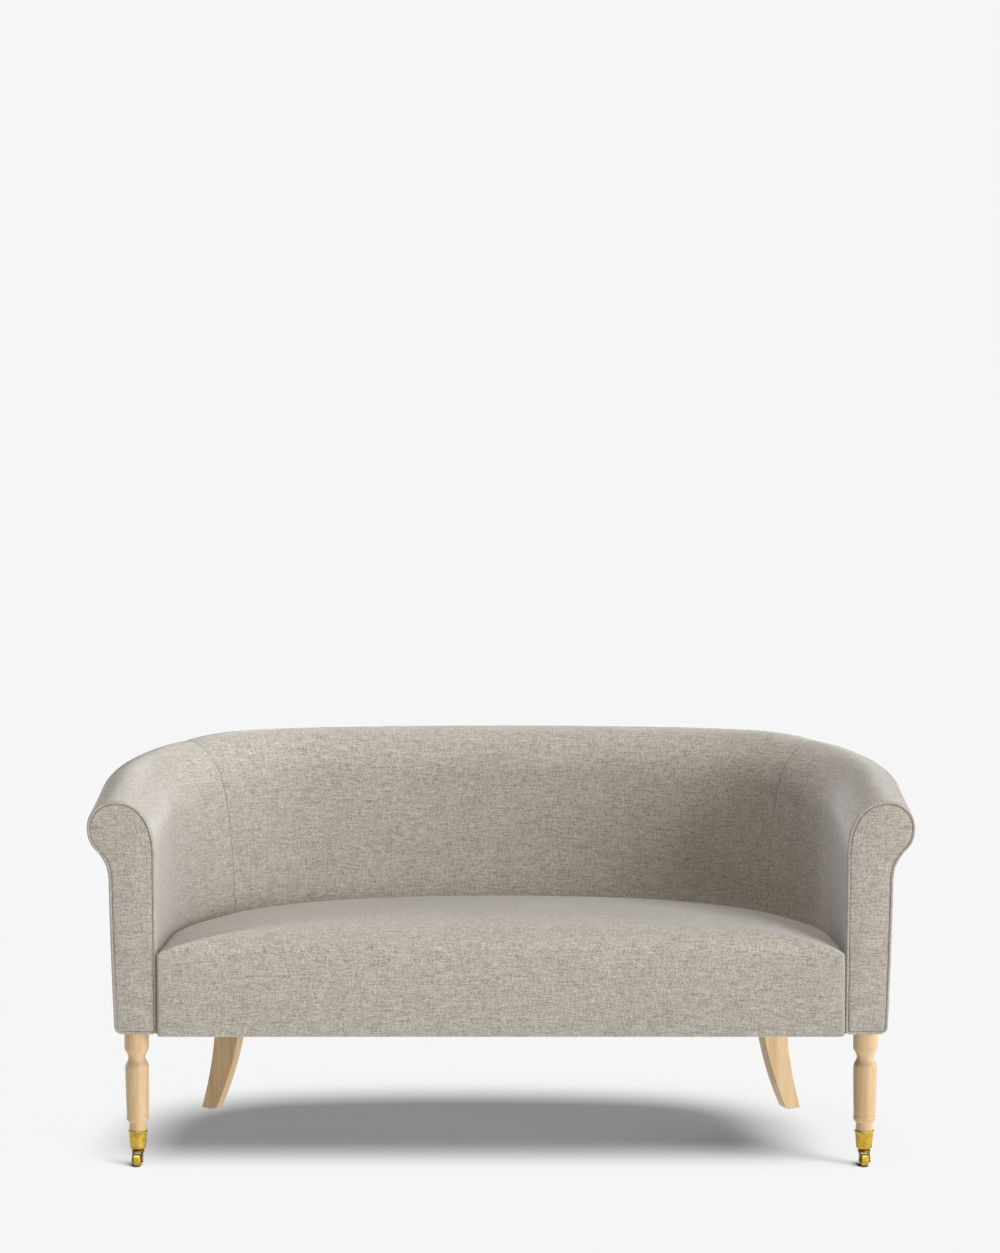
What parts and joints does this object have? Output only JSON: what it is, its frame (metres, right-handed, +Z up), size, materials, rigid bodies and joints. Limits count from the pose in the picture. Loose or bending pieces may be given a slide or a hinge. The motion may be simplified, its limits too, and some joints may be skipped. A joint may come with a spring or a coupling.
{
  "type": "curved settee",
  "caption": "Upholstered settee with a horseshoe back sweeping into rolled arms, a tight sprung seat, turned front legs on brass swivel casters and sabre rear legs.",
  "frame": {"origin": "on the floor, under the middle of the settee's bounding box", "axes": "+X across the seat, to the right as seen from the front, +Y towards the back, +Z up"},
  "size_m": [1.5036, 0.6866, 0.755],
  "materials": {
    "cover_cloth": "heathered oatmeal basket weave",
    "foam": "open-cell foam and wadding",
    "frame_wood": "sawn hardwood",
    "leg_wood": "clear satin varnish",
    "brass": "polished",
    "steel": "drawn wire and zinc-plated bolts",
    "felt": "needled felt",
    "jute": "coarse burlap",
    "black_cloth": "thin bonded cloth"
  },
  "bodies": {
    "frame": {"seat_cover": "cover_cloth", "inside_back_cover": "cover_cloth", "outside_back_cover": "cover_cloth", "left_inside_arm_cover": "cover_cloth", "right_inside_arm_cover": "cover_cloth", "left_outside_arm_cover": "cover_cloth", "right_outside_arm_cover": "cover_cloth", "left_arm_facing": "cover_cloth", "right_arm_facing": "cover_cloth", "left_arm_welt": "cover_cloth", "right_arm_welt": "cover_cloth", "seat_foam": "foam", "front_edge_pad": "foam", "back_pad": "foam", "left_arm_pad": "foam", "right_arm_pad": "foam", "spring_insulator": "felt", "back_burlap": "jute", "dust_cover": "black_cloth", "seat_springs": "steel", "front_rail": "frame_wood", "back_rail": "frame_wood", "back_top_rail": "frame_wood", "seat_stretcher": "frame_wood", "left_side_rail": "frame_wood", "right_side_rail": "frame_wood", "left_corner_rail": "frame_wood", "right_corner_rail": "frame_wood", "left_arm_top_rail": "frame_wood", "right_arm_top_rail": "frame_wood", "left_arm_post": "frame_wood", "right_arm_post": "frame_wood", "left_leg_block": "frame_wood", "right_leg_block": "frame_wood", "left_corner_block": "frame_wood", "right_corner_block": "frame_wood", "left_corner_upright": "frame_wood", "right_corner_upright": "frame_wood", "left_back_upright": "frame_wood", "right_back_upright": "frame_wood", "left_front_leg": "leg_wood", "right_front_leg": "leg_wood", "left_rear_leg": "leg_wood", "right_rear_leg": "leg_wood", "left_front_leg_bolt": "steel", "right_front_leg_bolt": "steel", "left_rear_leg_bolt": "steel", "right_rear_leg_bolt": "steel", "left_rear_glide": "steel", "right_rear_glide": "steel", "left_caster_cup": "brass", "right_caster_cup": "brass", "left_caster_pivot": "brass", "right_caster_pivot": "brass"},
    "left_caster": {"left_caster_horn": "brass", "left_caster_axle": "brass"},
    "left_wheel": {"left_caster_wheel": "brass"},
    "right_caster": {"right_caster_horn": "brass", "right_caster_axle": "brass"},
    "right_wheel": {"right_caster_wheel": "brass"}
  },
  "joints": [
    {"name": "left_swivel", "type": "hinge", "parent": "frame", "child": "left_caster", "pos_m": [-0.67297, -0.28624, 0.03], "axis": [0, 0, 1], "continuous": true},
    {"name": "left_roll", "type": "hinge", "parent": "left_caster", "child": "left_wheel", "pos_m": [-0.67332, -0.29623, 0.0118], "axis": [0.9994, -0.0349, 0], "continuous": true},
    {"name": "right_swivel", "type": "hinge", "parent": "frame", "child": "right_caster", "pos_m": [0.67297, -0.28624, 0.03], "axis": [0, 0, 1], "continuous": true},
    {"name": "right_roll", "type": "hinge", "parent": "right_caster", "child": "right_wheel", "pos_m": [0.67332, -0.29623, 0.0118], "axis": [0.9994, 0.0349, 0], "continuous": true}
  ]
}
